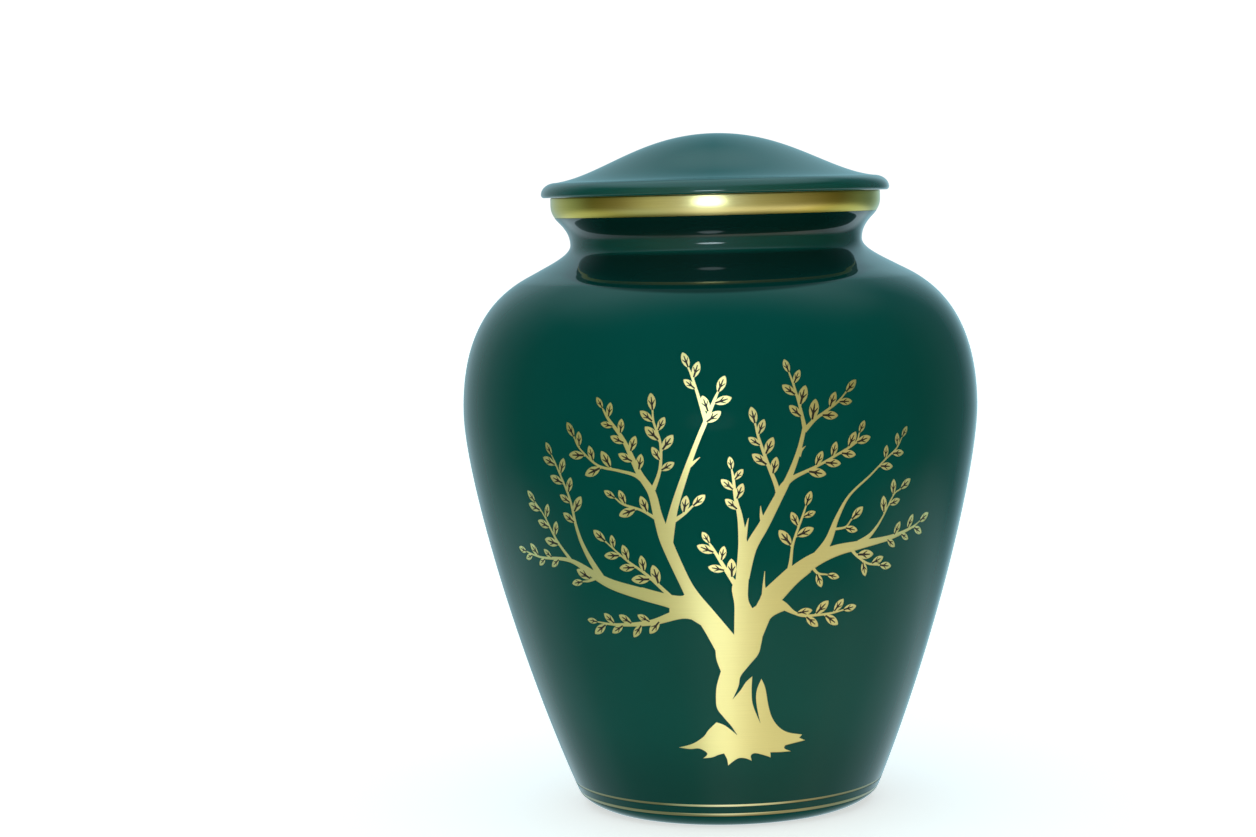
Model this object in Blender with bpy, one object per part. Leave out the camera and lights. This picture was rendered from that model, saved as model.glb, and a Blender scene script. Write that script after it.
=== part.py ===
# Covered urn: a turned brass vessel, enamelled green, under a domed lid whose spigot stands in its mouth.
# Metres, +Z up. The origin is the centre of the foot, on the surface that the urn stands on.

import math

import bpy
from mathutils import Vector
from mathutils.geometry import interpolate_bezier

# Heights of the vessel's stretches, each on top of the last
HEEL_RISE = 0.0050
WALL_RISE = 0.1372
SHOULDER_RISE = 0.0494
FLARE_RISE = 0.0094
COVE_RISE = 0.0141
BAND_RISE = 0.0029

# The vessel's outside, as radii and steps out from the neck
FOOT_RADIUS = 0.0465
HEEL_RADIUS = 0.0542
BELLY_RADIUS = 0.0918
NECK_RADIUS = 0.0520
FLARE_OUT = 0.0123
COLLAR_OUT = 0.0068

# Metal, and the mouth that is bored into the collar
WALL = 0.0020
COLLAR_WALL = 0.0053
COLLAR_EDGE = 0.0004
MOUTH_DEPTH = 0.0095

# Underside: a ring to stand on, around a shallow recess
FOOT_RING_WIDTH = 0.0045
RECESS_DEPTH = 0.0015
RECESS_SLOPE = 0.0010

# Curves of the vessel, as angles and shares of the stretch they belong to
HEEL_SLOPE = math.radians(22.6)
WALL_LOWER_PULL = 0.371
WALL_UPPER_PULL = 0.161
SHOULDER_UPPER_PULL = 0.77
SHOULDER_LOWER_PULL = 0.24
FLARE_SLOPE = math.radians(28.4)
FLARE_LOWER_PULL = 0.42
FLARE_UPPER_PULL = 0.365
COVE_SLOPE = math.radians(45)
COVE_TURN = 0.575
COVE_PULL = 0.41

# Lid: an overhanging rim, a flange that slopes up to the dome, and the spigot under it
SEAT_GAP = 0.0003
LID_OVERHANG = 0.0032
RIM_HEIGHT = 0.0051
RIM_NOSE = 0.0010
RIM_SHOULDER = 0.0053
DOME_RISE = 0.0162
DOME_CROWN_PULL = 0.46
DOME_FLANGE_PULL = 0.29
FLANGE_SLOPE = math.radians(7.4)
SPIGOT_CLEARANCE = 0.0003
SPIGOT_FOOT_GAP = 0.0010
SPIGOT_WALL = 0.0025
SPIGOT_EDGE = 0.0005

# Facets: segments around the axis, and steps along each stretch of an outline
SEGMENTS = 60
HEEL_STEPS = 3
WALL_STEPS = 9
SHOULDER_STEPS = 9
FLARE_STEPS = 3
COVE_STEPS = 3
INNER_WALL_STEPS = 5
INNER_SHOULDER_STEPS = 6
INNER_FLARE_STEPS = 2
DOME_STEPS = 9
RIM_STEPS = 4
NOSE_STEPS = 2
HOLLOW_STEPS = 6
MERGE_DISTANCE = 0.00001

ENAMEL_COLOUR = (0.0030, 0.0560, 0.0450, 1.0)
ENAMEL_ROUGHNESS = 0.08

# Sizes worked out from those above
BELLY_HEIGHT = HEEL_RISE + WALL_RISE
FLARE_HEIGHT = BELLY_HEIGHT + SHOULDER_RISE
NECK_HEIGHT = FLARE_HEIGHT + FLARE_RISE
BAND_HEIGHT = NECK_HEIGHT + COVE_RISE
VESSEL_HEIGHT = BAND_HEIGHT + BAND_RISE
FLARE_RADIUS = NECK_RADIUS + FLARE_OUT
COLLAR_RADIUS = NECK_RADIUS + COLLAR_OUT
MOUTH_RADIUS = COLLAR_RADIUS - COLLAR_WALL
FLOOR_HEIGHT = RECESS_DEPTH + WALL
LID_SEAT = VESSEL_HEIGHT + SEAT_GAP
RIM_RADIUS = COLLAR_RADIUS + LID_OVERHANG
FLANGE_RADIUS = RIM_RADIUS - RIM_SHOULDER
FLANGE_HEIGHT = LID_SEAT + RIM_HEIGHT
CROWN_HEIGHT = FLANGE_HEIGHT + DOME_RISE
SPIGOT_RADIUS = MOUTH_RADIUS - SPIGOT_CLEARANCE
SPIGOT_FOOT = VESSEL_HEIGHT - MOUTH_DEPTH + SPIGOT_FOOT_GAP


def clear_scene():
    for obj in list(bpy.data.objects):
        bpy.data.objects.remove(obj)


def bezier(start, start_pull, end_pull, end, steps):
    """Points of one Bezier stretch, its start included and its end left for the next stretch."""
    knots = [Vector((radius, height, 0)) for radius, height in (start, start_pull, end_pull, end)]
    curve = interpolate_bezier(knots[0], knots[1], knots[2], knots[3], steps + 1)
    return [(point.x, point.y) for point in curve[:-1]]


def turn(centre, reach_out, reach_up, first, last, steps):
    """Points of an elliptical turn, from the angle first to the angle last, in degrees above level."""
    angles = [math.radians(first + (last - first) * i / steps) for i in range(steps + 1)]
    return [(centre[0] + reach_out * math.cos(a), centre[1] + reach_up * math.sin(a)) for a in angles]


def moved_inward(points, distance):
    """The same outline, moved square to itself towards the axis by a wall's thickness."""
    moved = []
    for i, (radius, height) in enumerate(points):
        before = points[max(i - 1, 0)]
        after = points[min(i + 1, len(points) - 1)]
        along = Vector((after[0] - before[0], after[1] - before[1])).normalized()
        moved.append((radius - along.y * distance, height + along.x * distance))
    return moved


def wall_outline(steps):
    """From the heel up the long wall to the belly."""
    lower = WALL_RISE * WALL_LOWER_PULL
    upper = WALL_RISE * WALL_UPPER_PULL
    return bezier(
        (HEEL_RADIUS, HEEL_RISE),
        (HEEL_RADIUS + lower * math.tan(HEEL_SLOPE), HEEL_RISE + lower),
        (BELLY_RADIUS, BELLY_HEIGHT - upper),
        (BELLY_RADIUS, BELLY_HEIGHT),
        steps,
    )


def shoulder_outline(steps):
    """From the belly over the shoulder to the foot of the neck's flare."""
    reach = (BELLY_RADIUS - FLARE_RADIUS) * SHOULDER_LOWER_PULL
    return bezier(
        (BELLY_RADIUS, BELLY_HEIGHT),
        (BELLY_RADIUS, BELLY_HEIGHT + SHOULDER_RISE * SHOULDER_UPPER_PULL),
        (FLARE_RADIUS + reach, FLARE_HEIGHT - reach * math.tan(FLARE_SLOPE)),
        (FLARE_RADIUS, FLARE_HEIGHT),
        steps,
    )


def flare_outline(steps):
    """From the shoulder in to the narrowest of the neck."""
    reach = FLARE_OUT * FLARE_LOWER_PULL
    return bezier(
        (FLARE_RADIUS, FLARE_HEIGHT),
        (FLARE_RADIUS - reach, FLARE_HEIGHT + reach * math.tan(FLARE_SLOPE)),
        (NECK_RADIUS, NECK_HEIGHT - FLARE_RISE * FLARE_UPPER_PULL),
        (NECK_RADIUS, NECK_HEIGHT),
        steps,
    )


def cove_outline(steps):
    """From the neck out under the collar: hollow at first, then rounding over into the band."""
    middle = (NECK_RADIUS + COLLAR_OUT * COVE_TURN, NECK_HEIGHT + COVE_RISE * COVE_TURN)
    lower = COVE_RISE * COVE_TURN * COVE_PULL
    upper = COVE_RISE * (1 - COVE_TURN) * COVE_PULL
    hollow = bezier(
        (NECK_RADIUS, NECK_HEIGHT),
        (NECK_RADIUS, NECK_HEIGHT + lower),
        (middle[0] - lower * math.cos(COVE_SLOPE), middle[1] - lower * math.sin(COVE_SLOPE)),
        middle,
        steps,
    )
    round_over = bezier(
        middle,
        (middle[0] + upper * math.cos(COVE_SLOPE), middle[1] + upper * math.sin(COVE_SLOPE)),
        (COLLAR_RADIUS, BAND_HEIGHT - upper),
        (COLLAR_RADIUS, BAND_HEIGHT),
        steps,
    )
    return hollow + round_over


def foot_outline(steps):
    """From the axis across the underside's recess, over the standing ring and up to the heel."""
    ring_inside = FOOT_RADIUS - FOOT_RING_WIDTH
    heel = turn((FOOT_RADIUS, HEEL_RISE), HEEL_RADIUS - FOOT_RADIUS, HEEL_RISE, -90, 0, steps)
    underside = [(0.0, RECESS_DEPTH), (ring_inside - RECESS_SLOPE, RECESS_DEPTH), (ring_inside, 0.0)]
    return underside + heel[:-1]


def vessel_outside():
    collar = [
        (COLLAR_RADIUS, BAND_HEIGHT),
        (COLLAR_RADIUS, VESSEL_HEIGHT - COLLAR_EDGE),
        (COLLAR_RADIUS - COLLAR_EDGE, VESSEL_HEIGHT),
    ]
    return (
        foot_outline(HEEL_STEPS)
        + wall_outline(WALL_STEPS)
        + shoulder_outline(SHOULDER_STEPS)
        + flare_outline(FLARE_STEPS)
        + cove_outline(COVE_STEPS)
        + collar
    )


def vessel_inside():
    """From the middle of the floor up the inside of the wall and out of the mouth."""
    skin = (
        wall_outline(INNER_WALL_STEPS)
        + shoulder_outline(INNER_SHOULDER_STEPS)
        + flare_outline(INNER_FLARE_STEPS)
        + [(NECK_RADIUS, NECK_HEIGHT)]
    )
    wall = [point for point in moved_inward(skin, WALL) if point[1] > FLOOR_HEIGHT + WALL]
    floor = [(0.0, FLOOR_HEIGHT), (wall[0][0] - WALL, FLOOR_HEIGHT)]
    mouth = [
        (MOUTH_RADIUS, VESSEL_HEIGHT - MOUTH_DEPTH),
        (MOUTH_RADIUS, VESSEL_HEIGHT - COLLAR_EDGE),
        (MOUTH_RADIUS + COLLAR_EDGE, VESSEL_HEIGHT),
    ]
    return floor + wall + mouth


def dome_outline(steps):
    """From the crown down to the flange behind the rim."""
    flange_reach = FLANGE_RADIUS * DOME_FLANGE_PULL
    return bezier(
        (0.0, CROWN_HEIGHT),
        (FLANGE_RADIUS * DOME_CROWN_PULL, CROWN_HEIGHT),
        (FLANGE_RADIUS - flange_reach, FLANGE_HEIGHT + flange_reach * math.tan(FLANGE_SLOPE)),
        (FLANGE_RADIUS, FLANGE_HEIGHT),
        steps,
    )


def rim_outline(steps, nose_steps):
    """From the flange over the rim and round its nose to the underside."""
    nose = LID_SEAT + RIM_NOSE
    over = turn((FLANGE_RADIUS, nose), RIM_SHOULDER, RIM_HEIGHT - RIM_NOSE, 90, 0, steps)
    under = turn((RIM_RADIUS - RIM_NOSE, nose), RIM_NOSE, RIM_NOSE, 0, -90, nose_steps)
    return over + under[1:]


def lid_hollow(steps):
    """From the spigot's inside up under the dome to the axis."""
    inner = SPIGOT_RADIUS - SPIGOT_WALL
    shell = moved_inward(dome_outline(steps)[::-1], WALL)
    hollow = [(radius, height) for radius, height in shell if 0 < radius < inner - WALL]
    return [(inner, hollow[0][1] - WALL / 2)] + hollow + [(0.0, CROWN_HEIGHT - WALL)]


def lid_profile():
    spigot = [
        (SPIGOT_RADIUS, LID_SEAT),
        (SPIGOT_RADIUS, SPIGOT_FOOT + SPIGOT_EDGE),
        (SPIGOT_RADIUS - SPIGOT_EDGE, SPIGOT_FOOT),
        (SPIGOT_RADIUS - SPIGOT_WALL, SPIGOT_FOOT),
    ]
    rim = rim_outline(RIM_STEPS, NOSE_STEPS)
    return dome_outline(DOME_STEPS) + rim + spigot + lid_hollow(HOLLOW_STEPS)


def enamel():
    material = bpy.data.materials.new("green_enamel")
    material.use_nodes = True
    shader = material.node_tree.nodes["Principled BSDF"]
    shader.inputs["Base Color"].default_value = ENAMEL_COLOUR
    shader.inputs["Roughness"].default_value = ENAMEL_ROUGHNESS
    shader.inputs["Metallic"].default_value = 0.0
    return material


def turned(name, profile, material):
    """A solid of revolution about Z. The profile runs down its outer side, and its two ends are on the axis."""
    mesh = bpy.data.meshes.new(name)
    points = [(radius, 0.0, height) for radius, height in profile]
    mesh.from_pydata(points, [(i, i + 1) for i in range(len(points) - 1)], [])
    obj = bpy.data.objects.new(name, mesh)
    bpy.context.scene.collection.objects.link(obj)
    screw = obj.modifiers.new("turning", "SCREW")
    screw.axis = "Z"
    screw.steps = SEGMENTS
    screw.render_steps = SEGMENTS
    screw.use_smooth_shade = True
    screw.use_merge_vertices = True
    screw.merge_threshold = MERGE_DISTANCE
    obj.data.materials.append(material)
    return obj


def main():
    clear_scene()
    green = enamel()
    turned("urn_vessel", vessel_inside() + vessel_outside()[::-1], green)
    turned("urn_lid", lid_profile(), green)


main()
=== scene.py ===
# Covered cremation urn in green enamel and bare brass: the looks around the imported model.
# Metres, +Z up. The urn stands on the floor at the origin and its tree faces -Y.

import math
from bisect import bisect_right

import bmesh
import bpy
from mathutils import Matrix, Vector
from mathutils.bvhtree import BVHTree
from mathutils.geometry import delaunay_2d_cdt, interpolate_bezier


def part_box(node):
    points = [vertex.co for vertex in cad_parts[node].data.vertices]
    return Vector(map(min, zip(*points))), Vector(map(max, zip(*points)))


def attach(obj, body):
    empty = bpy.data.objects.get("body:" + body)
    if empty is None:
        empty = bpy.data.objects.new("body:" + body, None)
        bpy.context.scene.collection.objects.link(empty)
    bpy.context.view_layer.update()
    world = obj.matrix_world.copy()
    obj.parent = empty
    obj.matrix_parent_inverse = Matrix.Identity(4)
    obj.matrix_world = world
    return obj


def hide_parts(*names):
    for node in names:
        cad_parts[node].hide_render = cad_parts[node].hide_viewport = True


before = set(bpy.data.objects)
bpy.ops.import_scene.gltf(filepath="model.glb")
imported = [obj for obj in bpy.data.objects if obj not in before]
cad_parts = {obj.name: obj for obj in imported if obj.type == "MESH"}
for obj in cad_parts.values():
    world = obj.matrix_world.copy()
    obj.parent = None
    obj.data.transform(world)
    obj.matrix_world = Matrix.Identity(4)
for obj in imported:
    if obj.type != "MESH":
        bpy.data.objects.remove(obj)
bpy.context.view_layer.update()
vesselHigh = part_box("urn_vessel")[1]
lidLow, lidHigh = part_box("urn_lid")
mm = 0.001
weldDistance = 0.000002


# Camera and studio

cameraView = {
    "place": (0.0, -1.0199, 0.2184),
    "lens": 81.65,
    "sensorWidth": 36.0,
    "turnLeft": 1.855,
    "tiltDown": 4.484,
    "roll": 1.494,
}


def makeCamera():
    data = bpy.data.cameras.new("camera")
    data.lens = cameraView["lens"]
    data.sensor_width = cameraView["sensorWidth"]
    data.dof.use_dof = False
    camera = bpy.data.objects.new("camera", data)
    bpy.context.scene.collection.objects.link(camera)
    turn = Matrix.Rotation(math.radians(cameraView["turnLeft"]), 4, "Z")
    tilt = Matrix.Rotation(math.radians(90 - cameraView["tiltDown"]), 4, "X")
    roll = Matrix.Rotation(math.radians(-cameraView["roll"]), 4, "Z")
    camera.matrix_world = Matrix.Translation(cameraView["place"]) @ turn @ tilt @ roll
    bpy.context.scene.camera = camera
    bpy.context.scene.view_settings.view_transform = "Standard"


# Light by the direction it comes from: degrees round from the front, then its colour
studio = {
    "horizon": [(-180, (0.22, 0.46, 0.54)), (-158, (0.46, 0.66, 0.74)), (-134, (0.40, 0.56, 0.60)),
                (-115, (0.24, 0.36, 0.38)), (-98, (0.10, 0.12, 0.08)), (-70, (0.18, 0.17, 0.08)),
                (-45, (0.40, 0.40, 0.24)), (-25, (0.48, 0.48, 0.35)), (-14, (0.64, 0.70, 0.69)),
                (-6, (0.56, 0.65, 0.70)), (2, (0.56, 0.64, 0.68)), (10, (0.50, 0.52, 0.45)),
                (30, (0.32, 0.30, 0.17)), (62, (0.20, 0.18, 0.08)), (98, (0.09, 0.09, 0.05)),
                (120, (0.14, 0.22, 0.23)), (138, (0.14, 0.25, 0.29)), (152, (0.32, 0.52, 0.60)),
                (165, (0.48, 0.80, 0.92)), (180, (0.22, 0.46, 0.54))],
    "floor": [(-180, (0.80, 1.05, 1.15)), (-140, (0.72, 0.96, 1.04)), (-112, (0.62, 0.80, 0.86)),
              (-85, (0.50, 0.60, 0.59)), (-60, (0.50, 0.61, 0.55)), (-32, (0.60, 0.62, 0.50)),
              (-15, (1.06, 1.03, 0.90)), (-2, (1.25, 1.19, 1.03)), (12, (1.12, 1.05, 0.86)),
              (35, (0.95, 0.90, 0.70)), (50, (0.94, 0.89, 0.71)), (76, (1.10, 1.08, 0.94)),
              (100, (0.68, 0.79, 0.80)), (130, (0.70, 0.96, 1.06)), (180, (0.80, 1.05, 1.15))],
    "overhead": (0.93, 1.31, 1.43),
    "overheadEdge": (38.0, 70.0),
    "lamp": {"round": -4.0, "halfWide": 10.0, "up": -2.5, "halfHigh": 5.0, "edge": (1.6, 0.4),
             "colour": (9.8, 11.8, 12.6)},
    "floorEdge": {"front": -32.0, "side": -17.0, "sideFrom": 112.5, "soft": 0.07},
    "stageReach": 6.0,
    "backdropFaces": (48, 24),
    "floorColour": 0.80,
    "floorGlow": 0.62,
    "backdropGlow": 1.05,
}


# One short way to add a node, set it up and wire it
def nodeMaker(group):
    def add(kind, inputs=None, **settings):
        node = group.nodes.new(kind)
        for name, value in settings.items():
            setattr(node, name, value)
        for key, value in (inputs or {}).items():
            if isinstance(value, bpy.types.NodeSocket):
                group.links.new(value, node.inputs[key])
            else:
                node.inputs[key].default_value = value
        return node
    return add


def mathsMaker(add):
    def maths(operation, first, second=0.0, third=0.0):
        return add("ShaderNodeMath", {0: first, 1: second, 2: third}, operation=operation).outputs[0]
    return maths


# A soft step from start to end as the value goes from low to high
def easeMaker(add):
    def ease(value, low, high, start=0.0, end=1.0):
        limits = {"Value": value, "From Min": low, "From Max": high, "To Min": start, "To Max": end}
        return add("ShaderNodeMapRange", limits, interpolation_type="SMOOTHSTEP").outputs["Result"]
    return ease


def makeWorld():
    world = bpy.data.worlds.new("studio")
    bpy.context.scene.world = world
    world.use_nodes = True
    nodes = world.node_tree
    nodes.nodes.clear()
    add = nodeMaker(nodes)
    maths = mathsMaker(add)
    ease = easeMaker(add)
    toward = add("ShaderNodeTexCoord").outputs["Generated"]
    parts = add("ShaderNodeSeparateXYZ", {"Vector": toward})
    height = parts.outputs["Z"]
    ahead = maths("MULTIPLY", parts.outputs["Y"], -1.0)
    around = maths("ARCTAN2", parts.outputs["X"], ahead)
    share = maths("MULTIPLY_ADD", around, 0.5 / math.pi, 0.5)

    def aroundRamp(stops):
        node = add("ShaderNodeValToRGB", {"Fac": share})
        marks = node.color_ramp.elements
        for degrees, colour in stops[1:-1]:
            marks.new(degrees / 360 + 0.5).color = (*colour, 1.0)
        marks[0].color = (*stops[0][1], 1.0)
        marks[-1].color = (*stops[-1][1], 1.0)
        return node.outputs["Color"]

    def blend(factor, first, second):
        node = add("ShaderNodeMixRGB", {"Fac": factor, "Color1": first, "Color2": second})
        return node.outputs["Color"]

    def heightAt(degrees):
        return math.sin(math.radians(degrees))

    low, high = [heightAt(degrees) for degrees in studio["overheadEdge"]]
    sky = blend(ease(height, low, high), aroundRamp(studio["horizon"]), (*studio["overhead"], 1.0))
    edge = studio["floorEdge"]
    front, side = heightAt(edge["front"]), heightAt(edge["side"])
    facing = maths("MAXIMUM", maths("COSINE", maths("MULTIPLY", around, 90 / edge["sideFrom"])), 0.0)
    middle = maths("MULTIPLY_ADD", facing, front - side, side)
    bottom = maths("SUBTRACT", middle, edge["soft"])
    top = maths("ADD", middle, edge["soft"])
    colour = blend(ease(height, top, bottom), sky, aroundRamp(studio["floor"]))
    lamp = studio["lamp"]
    across = maths("SUBTRACT", around, math.radians(lamp["round"]))
    across = maths("DIVIDE", across, math.radians(lamp["halfWide"]))
    upward = maths("DIVIDE", maths("SUBTRACT", height, heightAt(lamp["up"])), heightAt(lamp["halfHigh"]))
    away = maths("ADD", maths("MULTIPLY", across, across), maths("MULTIPLY", upward, upward))
    inside = ease(away, *lamp["edge"])
    glow = add("ShaderNodeVectorMath", {0: lamp["colour"], "Scale": inside}, operation="SCALE").outputs[0]
    colour = add("ShaderNodeVectorMath", {0: colour, 1: glow}, operation="ADD").outputs[0]
    background = add("ShaderNodeBackground", {"Color": colour})
    output = add("ShaderNodeOutputWorld")
    nodes.links.new(background.outputs[0], output.inputs["Surface"])


def onlyForCamera(obj):
    obj.visible_glossy = False
    obj.visible_diffuse = False
    obj.visible_transmission = False
    obj.visible_shadow = False


def stageMaterial(name, colour, glow):
    material = bpy.data.materials.new(name)
    material.use_nodes = True
    shader = material.node_tree.nodes["Principled BSDF"]
    shader.inputs["Base Color"].default_value = (colour, colour, colour, 1.0)
    shader.inputs["Roughness"].default_value = 1.0
    shader.inputs["Specular IOR Level"].default_value = 0.0
    shader.inputs["Emission Color"].default_value = (1.0, 1.0, 1.0, 1.0)
    shader.inputs["Emission Strength"].default_value = glow
    return material


def makeStage():
    reach = studio["stageReach"]
    shape = bmesh.new()
    bmesh.ops.create_grid(shape, x_segments=1, y_segments=1, size=reach)
    floorMesh = bpy.data.meshes.new("floor")
    shape.to_mesh(floorMesh)
    shape.free()
    floorMesh.materials.append(stageMaterial("floor_white", studio["floorColour"], studio["floorGlow"]))
    shape = bmesh.new()
    columns, rows = studio["backdropFaces"]
    bmesh.ops.create_uvsphere(shape, u_segments=columns, v_segments=rows, radius=reach)
    bmesh.ops.reverse_faces(shape, faces=shape.faces)
    backMesh = bpy.data.meshes.new("backdrop")
    shape.to_mesh(backMesh)
    shape.free()
    backMesh.materials.append(stageMaterial("backdrop_white", 0.0, studio["backdropGlow"]))
    for mesh in (floorMesh, backMesh):
        obj = bpy.data.objects.new(mesh.name, mesh)
        bpy.context.scene.collection.objects.link(obj)
        onlyForCamera(obj)


# Materials

enamelLook = {
    "colour": (0.0014, 0.0770, 0.0650, 1.0),
    "clouding": 0.10,
    "cloudSize": 26.0 * mm,
    "rippleSize": 5.0 * mm,
    "rippleDepth": 0.006 * mm,
    "paintedNeckShadeLevel": 0.32,  # painted shade and painted reflection: darker enamel at the neck's front in place of the lid's dark reflection and the shade under the lid
    "paintedNeckShadeFoot": 184.8 * mm,
    "paintedNeckShadeRise": 5.5 * mm,
    "paintedNeckShadeSides": [(186.0 * mm, 51.0), (206.0 * mm, 66.0)],
    "paintedNeckShadeEdge": [(0.0, 1.0 * mm, 0.8), (2.0 * mm, 5.0 * mm, 0.2)],  # from, to, share of the painted shade
    "paintedNeckShadeEnds": (1.10, 0.92),
    "paintedNeckShadeDull": 0.9,
    # painted shade: the enamel is darker toward the foot, in place of the floor's shade round it; (height,
    # share of the colour) at two heights
    "paintedFootShade": [(7.0 * mm, 0.69), (44.0 * mm, 1.0)],
    "heelGloss": (4.2 * mm, 6.8 * mm, 0.10),  # from, to, the share left below
    "neckStreak": (200.9 * mm, 3.6 * mm, 0.85),  # height, reach, share of the painted shade it lifts
    "streakDull": 0.30,
    "roughness": 0.05,
    "ior": 1.5,
    "faceGloss": 0.006,
    "edgeGloss": 0.16,
    "glossTurn": (0.14, 0.46),
    "glossHeights": [(66.0 * mm, 0.12), (104.0 * mm, 0.0), (186.6 * mm, 0.0), (189.6 * mm, 0.5)],
}
brassLook = {
    "colour": (0.88, 0.80, 0.38, 1.0),
    "roughness": 0.28,
    "grain": 0.75,
    "brushing": 0.10,
    # painted shade: share of the colour kept where the surface turns away from the view
    "paintedSideShading": (0.76, 0.65, 0.28),
    "paintedSideTurn": (0.04, 0.34),
}
ringBrassLook = {
    **brassLook,
    "colour": (0.72, 0.72, 0.46, 1.0),
    "paintedSideShading": (0.38, 0.34, 0.26),
    "paintedSideTurn": (0.17, 0.28),
}
satinBrassLook = {
    "colour": (0.88, 0.80, 0.37, 1.0),
    "roughness": 0.40,
    "grain": 0.80,
    "brushing": 0.05,
    # painted light: the satin tree grows lighter where it turns away from the view
    "paintedSideShading": (1.13, 1.19, 1.16),
    "paintedSideTurn": (0.10, 0.60),
}
rawBrassLook = {
    "colour": (0.62, 0.50, 0.22, 1.0),
    "roughness": 0.38,
}
veinLook = {
    "colour": (0.012, 0.006, 0.004, 1.0),
    "roughness": 0.5,
}
brushStretch = (60.0, 60.0, 4000.0)  # fine streaks, drawn out round the axis
brushTurn = 0.25


def newMaterial(name, look, metallic):
    material = bpy.data.materials.new(name)
    material.use_nodes = True
    shader = material.node_tree.nodes["Principled BSDF"]
    shader.inputs["Base Color"].default_value = look["colour"]
    shader.inputs["Roughness"].default_value = look["roughness"]
    shader.inputs["Metallic"].default_value = metallic
    return material, shader


def makeEnamel():
    look = enamelLook
    material, shader = newMaterial("glossy_green_enamel", look, 0.0)
    add = nodeMaker(material.node_tree)
    maths = mathsMaker(add)
    ease = easeMaker(add)
    link = material.node_tree.links.new
    shader.inputs["IOR"].default_value = look["ior"]
    place = add("ShaderNodeTexCoord").outputs["Object"]
    parts = add("ShaderNodeSeparateXYZ", {"Vector": place})
    height = parts.outputs["Z"]

    # How far into the painted shade at the neck's front a point lies: painted shade and a painted reflection
    # of the lid's dark underside
    ahead = maths("MULTIPLY", parts.outputs["Y"], -1.0)
    around = maths("ABSOLUTE", maths("ARCTAN2", parts.outputs["X"], ahead))
    lowSide, highSide = look["paintedNeckShadeSides"]
    side = ease(height, lowSide[0], highSide[0], math.radians(lowSide[1]), math.radians(highSide[1]))
    share = maths("DIVIDE", around, side)
    foot = maths("MULTIPLY_ADD", maths("MULTIPLY", share, share), look["paintedNeckShadeRise"], look["paintedNeckShadeFoot"])
    rise = maths("SUBTRACT", height, foot)
    above = maths("ADD", *[ease(rise, low, high, 0.0, part) for low, high, part in look["paintedNeckShadeEdge"]])
    inFront = ease(share, *look["paintedNeckShadeEnds"])
    under = maths("LESS_THAN", height, vessel["bandFoot"] + mm)
    middle, reach, lift = look["neckStreak"]
    streak = ease(maths("ABSOLUTE", maths("SUBTRACT", height, middle)), reach, reach / 2)
    kept = maths("MULTIPLY", under, maths("MULTIPLY_ADD", streak, -lift, 1.0))
    # painted shade and painted reflection at the neck's front, kept off the band and lifted along the neck
    # streak
    paintedNeckShade = maths("MULTIPLY", maths("MULTIPLY", above, inFront), kept)

    facing = add("ShaderNodeLayerWeight", {"Blend": 0.5}).outputs["Facing"]
    gloss = ease(facing, *look["glossTurn"], look["faceGloss"], look["edgeGloss"])
    lowEnd, bellyLow, bellyHigh, neck = look["glossHeights"]
    lowGloss = ease(height, lowEnd[0], bellyLow[0], lowEnd[1], bellyLow[1])
    aboveHeel = ease(height, *look["heelGloss"], 1.0)
    neckGloss = ease(height, bellyHigh[0], neck[0], bellyHigh[1], neck[1])
    neckGloss = maths("MULTIPLY", neckGloss, maths("MULTIPLY_ADD", streak, -look["streakDull"], 1.0))
    gloss = maths("MULTIPLY", gloss, maths("MULTIPLY_ADD", paintedNeckShade, -look["paintedNeckShadeDull"], 1.0))
    gloss = maths("MAXIMUM", gloss, maths("MAXIMUM", lowGloss, neckGloss))
    link(maths("MULTIPLY", gloss, aboveHeel), shader.inputs["Specular IOR Level"])

    cloud = add("ShaderNodeTexNoise", {"Vector": place, "Scale": 1 / look["cloudSize"], "Detail": 4.0})
    cloudy = maths("MULTIPLY_ADD", cloud.outputs[0], 2 * look["clouding"], 1 - look["clouding"])
    # Colour: random clouding, times the painted shade at the neck's front and the painted shade toward the
    # foot
    cloudingAndPaintedShade = maths("MULTIPLY", cloudy, maths("MULTIPLY_ADD", paintedNeckShade, look["paintedNeckShadeLevel"] - 1, 1.0))
    # Painted shade: the colour darkens toward the foot
    (heelHeight, heelShade), (wallHeight, wallShade) = look["paintedFootShade"]
    cloudingAndPaintedShade = maths("MULTIPLY", cloudingAndPaintedShade, ease(height, heelHeight, wallHeight, heelShade, wallShade))
    colour = add("ShaderNodeVectorMath", {0: look["colour"][:3], "Scale": cloudingAndPaintedShade}, operation="SCALE")
    link(colour.outputs[0], shader.inputs["Base Color"])

    ripple = add("ShaderNodeTexNoise", {"Vector": place, "Scale": 1 / look["rippleSize"], "Detail": 1.0})
    bump = add("ShaderNodeBump", {"Height": ripple.outputs[0], "Distance": look["rippleDepth"]})
    link(bump.outputs[0], shader.inputs["Normal"])
    return material


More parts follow.
